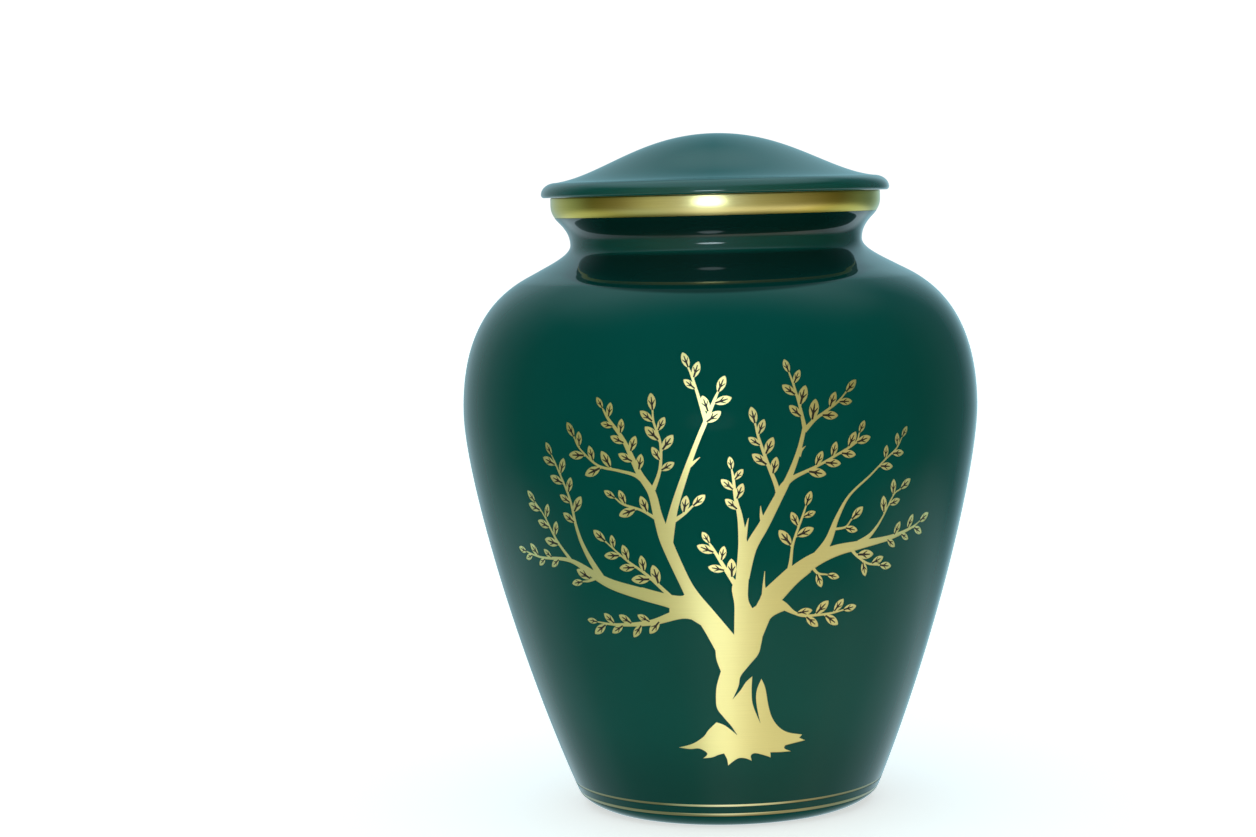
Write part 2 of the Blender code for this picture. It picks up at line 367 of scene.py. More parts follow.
# Turned brass: its grain runs round the axis, with fine streaks in its shine
def makeBrass(name, look):
    material, shader = newMaterial(name, look, 1.0)
    add = nodeMaker(material.node_tree)
    link = material.node_tree.links.new
    shader.inputs["Anisotropic"].default_value = look["grain"]
    shader.inputs["Anisotropic Rotation"].default_value = brushTurn
    tangent = add("ShaderNodeTangent", direction_type="RADIAL", axis="Z")
    link(tangent.outputs[0], shader.inputs["Tangent"])
    place = add("ShaderNodeTexCoord").outputs["Object"]
    stretched = add("ShaderNodeVectorMath", {0: place, 1: brushStretch}, operation="MULTIPLY")
    streaks = add("ShaderNodeTexNoise", {"Vector": stretched.outputs[0], "Scale": 1.0, "Detail": 3.0})
    level = mathsMaker(add)("MULTIPLY_ADD", streaks.outputs[0], 2 * look["brushing"], 1 - look["brushing"])
    # Painted shade and painted light by viewing angle: the colour turns darker on band and rings, lighter on
    # the satin tree, toward the sides
    facing = add("ShaderNodeLayerWeight", {"Blend": 0.5}).outputs["Facing"]
    side = easeMaker(add)(facing, *look["paintedSideTurn"])
    paintedSideColour = [channel * share for channel, share in zip(look["colour"], look["paintedSideShading"])]
    paintedSideMix = add("ShaderNodeMixRGB", {"Fac": side, "Color1": look["colour"], "Color2": (*paintedSideColour, 1.0)})
    colour = add("ShaderNodeVectorMath", {0: paintedSideMix.outputs["Color"], "Scale": level}, operation="SCALE")
    link(colour.outputs[0], shader.inputs["Base Color"])
    return material


# Geometry Nodes, run once and kept as a plain mesh

def newGroup(name, inputs):
    group = bpy.data.node_groups.new(name, "GeometryNodeTree")
    group.interface.new_socket(name="Geometry", in_out="INPUT", socket_type="NodeSocketGeometry")
    group.interface.new_socket(name="Geometry", in_out="OUTPUT", socket_type="NodeSocketGeometry")
    for inputName, kind in inputs.items():
        group.interface.new_socket(name=inputName, in_out="INPUT", socket_type=kind)
    return group, group.nodes.new("NodeGroupInput"), group.nodes.new("NodeGroupOutput")


def runGroup(source, group, values):
    modifier = source.modifiers.new(group.name, "NODES")
    modifier.node_group = group
    for item in group.interface.items_tree:
        if item.in_out == "INPUT" and item.name in values:
            modifier[item.identifier] = values[item.name]
    bpy.context.scene.collection.objects.link(source)
    graph = bpy.context.evaluated_depsgraph_get()
    mesh = bpy.data.meshes.new_from_object(source.evaluated_get(graph), depsgraph=graph)
    source.modifiers.remove(modifier)
    bpy.data.objects.remove(source)
    for slot in reversed(range(len(mesh.materials))):
        if mesh.materials[slot] is None:
            mesh.materials.pop(index=slot)
    return mesh


finishNames = ("enamel", "brass", "rawBrass", "ringBrass")
sharpAngle = 32.0


# A grid with the profile's points up each column, wrapped once round the axis and closed
def turningGroup():
    inputs = {"Segments": "NodeSocketInt", "Merge distance": "NodeSocketFloat"}
    inputs.update({name: "NodeSocketMaterial" for name in finishNames})
    group, given, result = newGroup("turning", inputs)
    add = nodeMaker(group)
    maths = mathsMaker(add)
    profile = given.outputs["Geometry"]
    count = add("GeometryNodeAttributeDomainSize", {"Geometry": profile}).outputs["Point Count"]
    columns = maths("ADD", given.outputs["Segments"], 1.0)
    grid = add("GeometryNodeMeshGrid", {"Vertices X": columns, "Vertices Y": count})
    index = add("GeometryNodeInputIndex").outputs[0]

    def split(rowCount):
        return maths("MODULO", index, rowCount), maths("FLOOR", maths("DIVIDE", index, rowCount))

    row, column = split(count)
    place = add("GeometryNodeInputPosition").outputs[0]
    point = add("GeometryNodeSampleIndex", {"Geometry": profile, "Index": row}, data_type="FLOAT_VECTOR")
    group.links.new(place, point.inputs["Value"])
    share = maths("DIVIDE", column, given.outputs["Segments"])
    angle = maths("MULTIPLY_ADD", share, 2 * math.pi, math.pi / 2)
    turned = add("ShaderNodeVectorRotate", {"Vector": point.outputs[0], "Angle": angle},
                 rotation_type="Z_AXIS")
    wrapped = add("GeometryNodeSetPosition", {"Geometry": grid.outputs[0], "Position": turned.outputs[0]})
    faceRow = split(maths("SUBTRACT", count, 1.0))[0]
    kept = add("GeometryNodeInputNamedAttribute", {"Name": "finish"}, data_type="FLOAT").outputs[0]
    finish = add("GeometryNodeSampleIndex",
                 {"Geometry": profile, "Value": kept, "Index": faceRow}).outputs[0]
    marked = add("GeometryNodeStoreNamedAttribute",
                 {"Geometry": wrapped.outputs[0], "Name": "finish", "Value": finish},
                 data_type="FLOAT", domain="FACE")
    closed = add("GeometryNodeMergeByDistance",
                 {"Geometry": marked.outputs[0], "Distance": given.outputs["Merge distance"]})
    smooth = add("GeometryNodeSetShadeSmooth", {"Geometry": closed.outputs[0]})
    geometry = add("GeometryNodeRealizeInstances", {"Geometry": smooth.outputs[0]}).outputs[0]
    stored = add("GeometryNodeInputNamedAttribute", {"Name": "finish"}, data_type="FLOAT").outputs[0]
    for number, name in enumerate(finishNames):
        same = maths("COMPARE", stored, float(number), 0.5)
        geometry = add("GeometryNodeSetMaterial",
                       {"Geometry": geometry, "Selection": same, "Material": given.outputs[name]}).outputs[0]
    group.links.new(geometry, result.inputs[0])
    return group


# profile: (radius, height, finish of the stretch that starts there), from the axis back to the axis
def turnedMesh(name, profile, segments, finishes, group):
    mesh = bpy.data.meshes.new(name)
    mesh.from_pydata([(radius, 0.0, height) for radius, height, _ in profile], [], [])
    kept = mesh.attributes.new("finish", "FLOAT", "POINT")
    kept.data.foreach_set("value", [float(finishNames.index(finish)) for _, _, finish in profile])
    source = bpy.data.objects.new(name, mesh)
    values = {"Segments": segments, "Merge distance": weldDistance}
    values.update(finishes)
    made = runGroup(source, group, values)
    made.name = name
    made.set_sharp_from_angle(angle=math.radians(sharpAngle))
    return made


# One stretch of an outline, its end left for the next stretch
def bezier(knots, steps):
    points = interpolate_bezier(*[Vector((radius, height, 0)) for radius, height in knots], steps + 1)
    return [(point.x, point.y) for point in points[:-1]]


def arc(centre, reachOut, reachUp, first, last, steps):
    angles = [math.radians(first + (last - first) * i / steps) for i in range(steps + 1)]
    return [(centre[0] + reachOut * math.cos(a), centre[1] + reachUp * math.sin(a)) for a in angles]


# The same outline, moved square to itself by a wall's thickness
def movedIn(points, distance):
    moved = []
    for i, (radius, height) in enumerate(points):
        before = points[max(i - 1, 0)]
        after = points[min(i + 1, len(points) - 1)]
        along = Vector((after[0] - before[0], after[1] - before[1])).normalized()
        moved.append((radius - along.y * distance, height + along.x * distance))
    return moved


# Vessel

vessel = {
    "bellyRadius": vesselHigh[0],
    "height": vesselHigh[2],
    "footRadius": 46.5 * mm,
    "heelRadius": 54.2 * mm,
    "neckRadius": 52.0 * mm,
    "flareOut": 12.3 * mm,
    "collarOut": 6.8 * mm,
    "heelRise": 5.0 * mm,
    "wallRise": 137.2 * mm,
    "shoulderRise": 49.4 * mm,
    "flareRise": 9.4 * mm,
    "coveRise": 14.1 * mm,
    "heelPulls": ((3.1 * mm, 1.0 * mm), (1.3 * mm, 2.0 * mm)),  # pulls shape each stretch's curve
    "heelSlope": 22.6,
    "wallPulls": (0.371, 0.161),
    "shoulderPulls": (0.77, 0.24),
    "flareSlope": 28.4,
    "flarePulls": (0.42, 0.365),
    "coveTurn": 0.575,
    "covePull": 0.41,
    "wall": 2.0 * mm,
    "mouthRadius": 53.5 * mm,
    "mouthDepth": 9.5 * mm,
    "collarEdge": 0.4 * mm,
    "footRing": 4.5 * mm,
    "recess": 1.5 * mm,
    "recessSlope": 1.0 * mm,
    "innerFloorRadius": 49.5 * mm,
    "bandFoot": 210.8 * mm,
    "rings": [(8.70 * mm, 0.85 * mm), (5.15 * mm, 1.20 * mm)],
    "enamelThickness": 0.10 * mm,
    "segments": 288,
    "steps": {"heel": 10, "wall": 74, "shoulder": 40, "flare": 14, "cove": 12, "collar": 9, "edge": 4},
    "innerEvery": 4,  # the inside takes one in four of the wall's points
}


# The outside's outline, from the foot up to the collar's top edge
def vesselOutside():
    v = vessel
    heel = (v["heelRadius"], v["heelRise"])
    belly = (v["bellyRadius"], v["heelRise"] + v["wallRise"])
    flare = (v["neckRadius"] + v["flareOut"], belly[1] + v["shoulderRise"])
    neck = (v["neckRadius"], flare[1] + v["flareRise"])
    collar = (v["neckRadius"] + v["collarOut"], neck[1] + v["coveRise"])
    heelSlope = math.tan(math.radians(v["heelSlope"]))
    flareSlope = math.tan(math.radians(v["flareSlope"]))
    lower = v["wallRise"] * v["wallPulls"][0]
    upper = v["wallRise"] * v["wallPulls"][1]
    reach = (belly[0] - flare[0]) * v["shoulderPulls"][1]
    inward = v["flareOut"] * v["flarePulls"][0]
    middle = (neck[0] + v["collarOut"] * v["coveTurn"], neck[1] + v["coveRise"] * v["coveTurn"])
    coveLow = v["coveRise"] * v["coveTurn"] * v["covePull"]
    coveHigh = v["coveRise"] * (1 - v["coveTurn"]) * v["covePull"]
    slant = math.sqrt(0.5)
    (outFrom, upFrom), (outTo, upTo) = v["heelPulls"]
    stretches = {
        "heel": ((v["footRadius"], 0.0), (v["footRadius"] + outFrom, upFrom),
                 (heel[0] - outTo, heel[1] - upTo), heel),
        "wall": (heel, (heel[0] + lower * heelSlope, heel[1] + lower),
                 (belly[0], belly[1] - upper), belly),
        "shoulder": (belly, (belly[0], belly[1] + v["shoulderRise"] * v["shoulderPulls"][0]),
                     (flare[0] + reach, flare[1] - reach * flareSlope), flare),
        "flare": (flare, (flare[0] - inward, flare[1] + inward * flareSlope),
                  (neck[0], neck[1] - v["flareRise"] * v["flarePulls"][1]), neck),
        "cove": (neck, (neck[0], neck[1] + coveLow),
                 (middle[0] - coveLow * slant, middle[1] - coveLow * slant), middle),
        "collar": (middle, (middle[0] + coveHigh * slant, middle[1] + coveHigh * slant),
                   (collar[0], collar[1] - coveHigh), collar),
    }
    points = []
    for name, knots in stretches.items():
        points += bezier(knots, v["steps"][name])
    edge = v["collarEdge"]
    corner = (collar[0] - edge, v["height"] - edge)
    return points + [collar] + arc(corner, edge, edge, 0, 90, v["steps"]["edge"])


# The outline with a point added at each of the heights
def cutAt(points, heights):
    cut = [points[0]]
    for before, after in zip(points, points[1:]):
        for height in sorted(heights):
            if before[1] < height < after[1]:
                share = (height - before[1]) / (after[1] - before[1])
                cut.append((before[0] + (after[0] - before[0]) * share, height))
        cut.append(after)
    return cut


def vesselProfile():
    v = vessel
    edges = [v["bandFoot"]]
    for height, width in v["rings"]:
        edges += [height - width / 2, height + width / 2]
    outside = cutAt(vesselOutside(), edges)

    def isBrass(height):
        return height > v["bandFoot"] or any(abs(height - ring) < width / 2 for ring, width in v["rings"])

    profile = [(0.0, v["recess"], "enamel")]
    ringInside = v["footRadius"] - v["footRing"]
    profile += [(ringInside - v["recessSlope"], v["recess"], "enamel"), (ringInside, 0.0, "enamel")]
    for i, (radius, height) in enumerate(outside):
        above = outside[min(i + 1, len(outside) - 1)]
        below = outside[max(i - 1, 0)]
        brassAbove = isBrass((height + above[1]) / 2) or height >= v["height"]
        brassBelow = isBrass((height + below[1]) / 2)
        sunk = radius - v["enamelThickness"]
        metal = "brass" if height >= v["bandFoot"] else "ringBrass"
        if brassBelow and not brassAbove:
            profile += [(sunk, height, "enamel"), (radius, height, "enamel")]
        elif brassAbove and not brassBelow:
            profile += [(radius, height, "enamel"), (sunk, height, metal)]
        elif brassAbove:
            profile += [(sunk, height, metal)]
        else:
            profile += [(radius, height, "enamel")]
    mouth = v["mouthRadius"]
    edge = v["collarEdge"]
    rim = arc((mouth + edge, v["height"] - edge), edge, edge, 90, 180, v["steps"]["edge"])
    profile += [(radius, height, "brass") for radius, height in rim]
    profile += [(mouth, v["height"] - v["mouthDepth"], "rawBrass")]
    neckTop = v["heelRise"] + v["wallRise"] + v["shoulderRise"] + v["flareRise"]
    skin = [p for p in vesselOutside() if v["heelRise"] <= p[1] <= neckTop]
    inner = movedIn(skin, v["wall"])[::-v["innerEvery"]]
    floorHeight = v["recess"] + v["wall"]
    inner = [p for p in inner if p[1] > floorHeight + v["wall"]]
    profile += [(radius, height, "rawBrass") for radius, height in inner]
    profile += [(v["innerFloorRadius"], floorHeight, "rawBrass"), (0.0, floorHeight, "rawBrass")]
    return profile


# Tree: boughs drawn flat in millimetres round the wall from the front, and up from the floor

tree = {
    "leafLength": 7.2,
    "leafWidth": 3.2,
    "leafSpacing": 3.3,
    "leafSpread": 40.0,
    "angleJitter": 10.0,
    "sizeJitter": 0.14,
    "tipBack": 0.6,
    "tipShrink": 0.22,
    "veinWidth": 0.80,
    "seed": 4,
    "levelStep": 1.0,
    "weld": 0.004,
    "brassDepth": 0.10 * mm,
    "veinDepth": 0.20 * mm,
    "trunkSteps": 5,
    "boughSteps": 6,
    "sizeSeedStep": 7.0,
    "columnsEachSide": 55,
    "low": 19.0 * mm,
    "high": 172.0 * mm,
}
brassLevel, veinLevel, enamelLevel = 0, 1, 2

# Each: share of its length where leaves begin, or None, and its (round, up, width) points
boughs = [
    (0.74, [(1.0, 66.0, 8.0), (-3.6, 74.0, 7.0), (-8.6, 81.5, 5.6), (-12.4, 88.5, 4.0), (-16.7, 98.3, 4.0),
            (-19.4, 105.4, 4.1), (-21.6, 113.0, 3.1), (-23.4, 120.5, 2.8), (-27.5, 127.0, 2.2),
            (-32.6, 137.9, 1.5), (-37.8, 144.8, 1.1), (-41.7, 151.4, 0.7)]),
    (0.74, [(-6.0, 77.0, 6.0), (-16.0, 82.2, 4.6), (-28.1, 85.5, 4.3), (-38.0, 88.1, 3.7), (-44.2, 90.6, 3.1),
            (-55.5, 95.9, 1.6), (-69.6, 96.0, 0.9), (-81.9, 98.0, 0.6)]),
    (0.32, [(-9.0, 77.8, 3.0), (-14.5, 78.8, 3.6), (-25.3, 75.4, 2.0), (-37.6, 74.2, 1.1),
            (-49.4, 75.0, 0.6)]),
    (0.22, [(-55.3, 96.0, 1.4), (-61.3, 102.7, 1.1), (-66.3, 110.8, 0.8), (-73.1, 118.4, 0.6)]),
    (0.40, [(-43.0, 90.6, 2.6), (-48.8, 99.6, 1.8), (-52.0, 107.4, 1.3), (-54.3, 117.7, 1.0),
            (-59.2, 128.5, 0.8), (-62.8, 135.2, 0.6)]),
    (0.45, [(-43.5, 91.0, 1.3), (-48.0, 89.2, 0.9), (-52.4, 88.6, 0.6)]),
    (0.18, [(-17.0, 83.8, 1.5), (-25.8, 92.0, 1.1), (-33.1, 97.1, 0.8), (-43.6, 105.7, 0.6)]),
    (0.36, [(-24.5, 122.8, 1.8), (-28.8, 126.2, 1.3), (-35.1, 127.8, 1.0), (-42.5, 129.4, 0.9),
            (-49.2, 134.9, 0.7), (-53.0, 141.6, 0.6)]),
    (0.16, [(-22.8, 121.5, 1.7), (-20.3, 128.3, 1.1), (-19.9, 136.9, 0.9), (-22.0, 143.9, 0.8),
            (-22.5, 150.4, 0.6)]),
    (0.12, [(-21.4, 111.2, 1.3), (-27.1, 114.4, 0.9), (-33.4, 116.3, 0.8), (-38.7, 120.0, 0.6)]),
    (0.78, [(-18.5, 104.0, 4.0), (-16.1, 114.4, 2.7), (-12.8, 124.2, 2.2), (-8.6, 135.2, 1.6),
            (-4.8, 143.9, 1.5), (-1.6, 151.1, 1.0), (0.1, 154.7, 0.7)]),
    (0.50, [(-4.6, 144.2, 1.6), (-7.2, 153.2, 1.0), (-9.0, 159.1, 0.8), (-10.6, 163.0, 0.6)]),
    (0.30, [(-15.9, 111.0, 1.5), (-12.4, 113.4, 1.0), (-7.8, 117.6, 0.7)]),
    (None, [(-10.8, 129.2, 1.6), (-9.4, 130.2, 1.1), (-6.9, 132.2, 0.2)]),
    (0.74, [(6.0, 67.0, 6.0), (5.7, 81.8, 4.4), (6.1, 91.0, 4.2), (6.6, 98.0, 3.8), (6.5, 104.0, 2.8),
            (5.8, 112.0, 1.8), (4.5, 118.2, 1.2), (3.9, 124.9, 0.9), (3.1, 130.0, 0.6)]),
    (0.22, [(6.4, 84.6, 2.0), (1.5, 92.6, 1.4), (-2.8, 100.3, 1.0), (-5.7, 105.2, 0.7)]),
    (None, [(6.4, 91.0, 4.2), (9.1, 101.0, 4.0), (13.6, 108.7, 3.6), (18.1, 116.9, 3.1), (22.2, 124.1, 2.2),
            (25.9, 133.1, 1.6), (28.2, 141.4, 1.4)]),
    (0.06, [(28.2, 140.4, 1.6), (26.7, 147.6, 1.0), (24.6, 155.2, 0.8), (22.1, 162.1, 0.6)]),
    (0.10, [(28.0, 139.8, 1.7), (31.5, 143.2, 1.3), (34.9, 145.4, 1.0), (40.0, 148.6, 0.8),
            (45.9, 154.2, 0.6)]),
    (0.24, [(18.8, 118.6, 1.6), (17.9, 122.6, 1.5), (15.3, 129.6, 1.2), (12.5, 138.3, 0.9),
            (10.7, 146.2, 0.6)]),
    (0.36, [(18.6, 118.4, 2.6), (21.0, 122.2, 2.4), (24.4, 124.6, 1.5), (32.4, 127.9, 1.0),
            (39.7, 131.3, 0.9), (46.6, 134.8, 0.8), (49.4, 140.4, 0.6)]),
    (None, [(13.6, 109.6, 2.0), (12.9, 112.0, 1.1), (12.7, 115.4, 0.2)]),
    (None, [(6.8, 104.6, 2.2), (7.7, 107.6, 1.1), (8.6, 111.4, 0.2)]),
    (None, [(13.6, 84.6, 2.2), (13.3, 88.0, 0.9), (13.7, 93.0, 0.2)]),
    (None, [(25.8, 131.6, 1.8), (26.8, 133.4, 1.0), (28.4, 134.8, 0.2)]),
    (0.80, [(7.5, 67.0, 7.0), (11.6, 76.0, 6.4), (15.4, 83.4, 6.0), (21.0, 88.9, 6.3), (28.8, 94.7, 5.3),
            (38.0, 98.3, 4.2), (49.0, 99.8, 3.0), (61.7, 101.1, 1.8), (72.3, 103.4, 1.0),
            (80.3, 106.6, 0.6)]),
    (0.70, [(31.2, 96.0, 4.0), (36.0, 102.0, 2.9), (39.4, 109.8, 1.7), (44.2, 117.2, 1.0), (52.5, 123.4, 0.8),
            (58.4, 128.0, 0.7), (63.8, 131.7, 0.7), (68.5, 138.1, 0.6)]),
    (0.56, [(48.0, 100.2, 2.6), (52.9, 103.0, 1.5), (57.4, 107.8, 0.9), (62.7, 115.7, 0.7),
            (68.4, 119.0, 0.6)]),
    (0.45, [(38.6, 106.0, 1.0), (42.6, 106.4, 0.8), (46.6, 110.6, 0.6)]),
    (0.06, [(44.5, 99.4, 1.6), (47.0, 96.2, 1.0), (51.6, 93.0, 0.8), (60.7, 91.0, 0.6)]),
    (0.12, [(29.6, 94.6, 1.4), (32.0, 91.3, 0.9), (38.4, 89.8, 0.6)]),
    (0.30, [(21.6, 90.5, 2.0), (22.6, 96.0, 1.2), (23.6, 102.4, 0.9), (26.9, 111.1, 0.8),
            (29.1, 117.1, 0.6)]),
    (0.30, [(15.0, 82.9, 3.4), (19.4, 80.9, 3.0), (23.5, 78.0, 1.3), (27.6, 76.6, 1.0), (36.5, 76.7, 0.8),
            (45.6, 78.0, 0.6)]),
]

# The trunk's outline as stretches from corner to corner, each one starting where the last one ends
trunk = [
    [(-9.4, 87.1), (-3.7, 79.9), (3.0, 71.2)],
    [(3.2, 76.4), (3.3, 82.0), (2.6, 87.2), (3.6, 90.5)],
    [(8.5, 92.0)],
    [(8.1, 88.5), (7.9, 85.0), (8.2, 82.6), (9.3, 80.3)],
    [(11.2, 81.8), (12.2, 84.3), (13.6, 86.8), (17.2, 90.1), (21.3, 93.6)],
    [(29.9, 91.9)],
    [(24.7, 88.0), (19.2, 82.4)],
    [(20.5, 79.0)],
    [(15.9, 76.9), (13.3, 72.9), (12.1, 67.8), (11.0, 64.0), (7.9, 60.2), (4.9, 56.4), (4.1, 52.8),
     (2.0, 48.1)],
    [(4.7, 51.3), (6.7, 54.3), (8.8, 56.2)],
    [(8.5, 50.4), (8.9, 45.7), (11.3, 39.0)],
    [(10.1, 46.0), (10.2, 50.9), (11.9, 55.2)],
    [(13.2, 51.7), (14.2, 45.1), (15.5, 40.6), (17.9, 37.1), (21.1, 35.0), (26.2, 33.8)],
    [(25.1, 32.6)],
    [(27.4, 31.5)],
    [(23.5, 30.9), (20.0, 30.3)],
    [(19.6, 29.2), (22.1, 27.9)],
    [(17.8, 27.9), (14.6, 28.1)],
    [(14.7, 26.2)],
    [(11.8, 27.4), (9.1, 28.1), (7.8, 27.2), (8.1, 25.4)],
    [(5.8, 26.4), (3.7, 26.5), (1.8, 25.4), (0.0, 23.9)],
    [(-0.3, 26.2), (-1.3, 28.4)],
    [(-3.4, 27.8), (-5.3, 27.0), (-8.5, 26.6)],
    [(-7.0, 28.4), (-9.6, 30.2), (-13.0, 30.0), (-16.9, 30.5)],
    [(-12.0, 32.0), (-8.2, 34.6), (-6.3, 37.2), (-3.6, 39.9)],
    [(-0.6, 38.6), (3.4, 35.0)],
    [(1.4, 38.4), (-1.2, 41.8), (-3.2, 44.8), (-3.6, 48.5), (-3.2, 53.2), (-1.7, 58.3)],
    [(-3.1, 62.6), (-3.5, 66.8), (-5.0, 71.7), (-8.3, 75.9), (-13.4, 78.1), (-18.7, 77.2)],
    [(-18.5, 80.9)],
    [(-24.0, 83.0), (-28.0, 83.9)],
    [(-28.1, 87.9)],
    [(-21.0, 86.1), (-16.6, 85.2), (-13.6, 85.2), (-13.2, 87.4), (-15.4, 92.0)],
    [(-13.2, 93.0)],
]


# A smooth line through each stretch's points; the corners between stretches stay sharp
def smoothed(stretches):
    outline = [Vector(stretches[-1][-1])]
    for stretch in stretches:
        knots = [outline[-1]] + [Vector(point) for point in stretch]
        for i in range(len(knots) - 1):
            before = knots[max(i - 1, 0)]
            after = knots[min(i + 2, len(knots) - 1)]
            leave = knots[i] + (knots[i + 1] - before) / 6
            arrive = knots[i + 1] - (after - knots[i]) / 6
            outline += interpolate_bezier(knots[i], leave, arrive, knots[i + 1], tree["trunkSteps"] + 1)[1:]
    return [point.xy for point in outline[1:]]


# Along the leaf from 0 to 1; widths are shares of the half vein or, at sideTip, of the half leaf
leafShape = {
    "stalk": 0.10,
    "sides": 9,
    "taper": 1.5,
    "midrib": [(0.12, 0.8), (0.40, 1.0), (0.80, 0.4)],
    "sideFoot": (0.34, 0.5),
    "sideTip": (0.60, 0.78),
    "sideWidths": (2.6, 1.2),
}


# A pointed oval one unit long on its stalk, with its veins a level higher
def leafMesh():
    half = tree["leafWidth"] / tree["leafLength"] / 2
    vein = tree["veinWidth"] / tree["leafLength"] / 2
    stalk = leafShape["stalk"]
    sides = leafShape["sides"]
    across = [math.radians(180 * i / sides) for i in range(1, sides)]
    upper = [((1 + stalk - (1 - stalk) * math.cos(a)) / 2, half * math.sin(a) ** leafShape["taper"])
             for a in across]
    blade = [(0.0, vein), (stalk, vein)] + upper + [(1.0, 0.0)]
    blade += [(x, -y) for x, y in reversed(upper)] + [(stalk, -vein), (0.0, -vein)]
    rib = [(x, vein * share) for x, share in leafShape["midrib"]]
    veins = [[rib[0]] + [(x, -y) for x, y in rib] + rib[:0:-1]]
    footWide, tipWide = leafShape["sideWidths"]
    for side in (1, -1):
        foot = (leafShape["sideFoot"][0], side * vein * leafShape["sideFoot"][1])
        tip = (leafShape["sideTip"][0], side * half * leafShape["sideTip"][1])
        corners = [foot, (foot[0] + vein * footWide, foot[1]), (tip[0] + vein * tipWide, tip[1]), tip]
        veins.append(corners[::side])
    points = [(x, y, 0.0) for x, y in blade]
    faces = [tuple(range(len(blade)))]
    for shape in veins:
        faces.append(tuple(range(len(points), len(points) + len(shape))))
        points += [(x, y, veinLevel * tree["levelStep"]) for x, y in shape]
    mesh = bpy.data.meshes.new("leaf")
    mesh.from_pydata(points, [], faces)
    return mesh


# Ribbons along every path, and leaves in turn on both sides of the leafy ones
def twigGroup():
    group, given, result = newGroup("twigs_and_leaves", {
        "Leaf": "NodeSocketObject",
        "Leaf length": "NodeSocketFloat",
        "Leaf spacing": "NodeSocketFloat",
        "Leaf spread": "NodeSocketFloat",
        "Angle jitter": "NodeSocketFloat",
        "Size jitter": "NodeSocketFloat",
        "Tip shrink": "NodeSocketFloat",
        "Seed": "NodeSocketInt",
        "Brass": "NodeSocketMaterial",
    })
    add = nodeMaker(group)
    maths = mathsMaker(add)

    def attribute(name):
        return add("GeometryNodeInputNamedAttribute", {"Name": name}, data_type="FLOAT").outputs[0]

    def eitherWay(seed):
        node = add("FunctionNodeRandomValue", {"Seed": seed}, data_type="FLOAT")
        node.inputs[2].default_value = -1.0
        node.inputs[3].default_value = 1.0
        return node.outputs[1]

    curve = add("GeometryNodeMeshToCurve", {"Mesh": given.outputs["Geometry"]}).outputs[0]
    curve = add("GeometryNodeCurveSplineType", {"Curve": curve}, spline_type="CATMULL_ROM").outputs[0]
    curve = add("GeometryNodeSetSplineResolution",
                {"Geometry": curve, "Resolution": tree["boughSteps"]}).outputs[0]
    curve = add("GeometryNodeSetCurveNormal", {"Curve": curve}, mode="Z_UP").outputs[0]
    path = add("GeometryNodeResampleCurve", {"Curve": curve}, mode="EVALUATED").outputs[0]
    rib = add("GeometryNodeCurvePrimitiveLine", {"Start": (-0.5, 0.0, 0.0), "End": (0.5, 0.0, 0.0)})
    ribbons = add("GeometryNodeCurveToMesh",
                  {"Curve": path, "Profile Curve": rib.outputs[0], "Scale": attribute("width")})

    evenly = add("GeometryNodeResampleCurve", {"Curve": curve, "Length": given.outputs["Leaf spacing"]},
                 mode="LENGTH").outputs[0]
    share = add("GeometryNodeSplineParameter").outputs["Factor"]
    leafy = maths("GREATER_THAN", share, attribute("leafFrom"))
    tangent = add("ShaderNodeSeparateXYZ", {0: add("GeometryNodeInputTangent").outputs[0]})
    along = maths("ARCTAN2", tangent.outputs["Y"], tangent.outputs["X"])
    index = add("GeometryNodeInputIndex").outputs[0]
    parity = maths("MODULO", index, 2.0)
    side = maths("MULTIPLY_ADD", parity, 2.0, -1.0)
    wobble = eitherWay(given.outputs["Seed"])
    sizes = eitherWay(maths("ADD", given.outputs["Seed"], tree["sizeSeedStep"]))
    spread = maths("MULTIPLY_ADD", wobble, given.outputs["Angle jitter"], given.outputs["Leaf spread"])
    lean = maths("MULTIPLY_ADD", side, spread, along)
    grown = maths("MULTIPLY_ADD", sizes, given.outputs["Size jitter"], 1.0)
    shrink = maths("MULTIPLY", share, given.outputs["Tip shrink"])
    scale = maths("MULTIPLY", maths("SUBTRACT", grown, shrink), given.outputs["Leaf length"])
    leaf = add("GeometryNodeObjectInfo", {"Object": given.outputs["Leaf"], "As Instance": True})
    tip = add("GeometryNodeCurveEndpointSelection", {"Start Size": 0, "End Size": 1}).outputs[0]
    inner = maths("SUBTRACT", 1.0, tip)
    sideLeaf = maths("MULTIPLY", leafy, inner)
    tipLeaf = maths("MULTIPLY", leafy, tip)

    def leaves(selection, angle):
        turn = add("ShaderNodeCombineXYZ", {"Z": angle}).outputs[0]
        size = add("ShaderNodeCombineXYZ", {"X": scale, "Y": scale, "Z": 1.0}).outputs[0]
        return add("GeometryNodeInstanceOnPoints",
                   {"Points": evenly, "Selection": selection, "Instance": leaf.outputs["Geometry"],
                    "Rotation": turn, "Scale": size}).outputs[0]

    joined = add("GeometryNodeJoinGeometry")
    for part in (leaves(tipLeaf, along), leaves(sideLeaf, lean), ribbons.outputs[0]):
        group.links.new(part, joined.inputs[0])
    realized = add("GeometryNodeRealizeInstances", {"Geometry": joined.outputs[0]}).outputs[0]
    dressed = add("GeometryNodeSetMaterial", {"Geometry": realized, "Material": given.outputs["Brass"]})
    group.links.new(dressed.outputs[0], result.inputs[0])
    return group


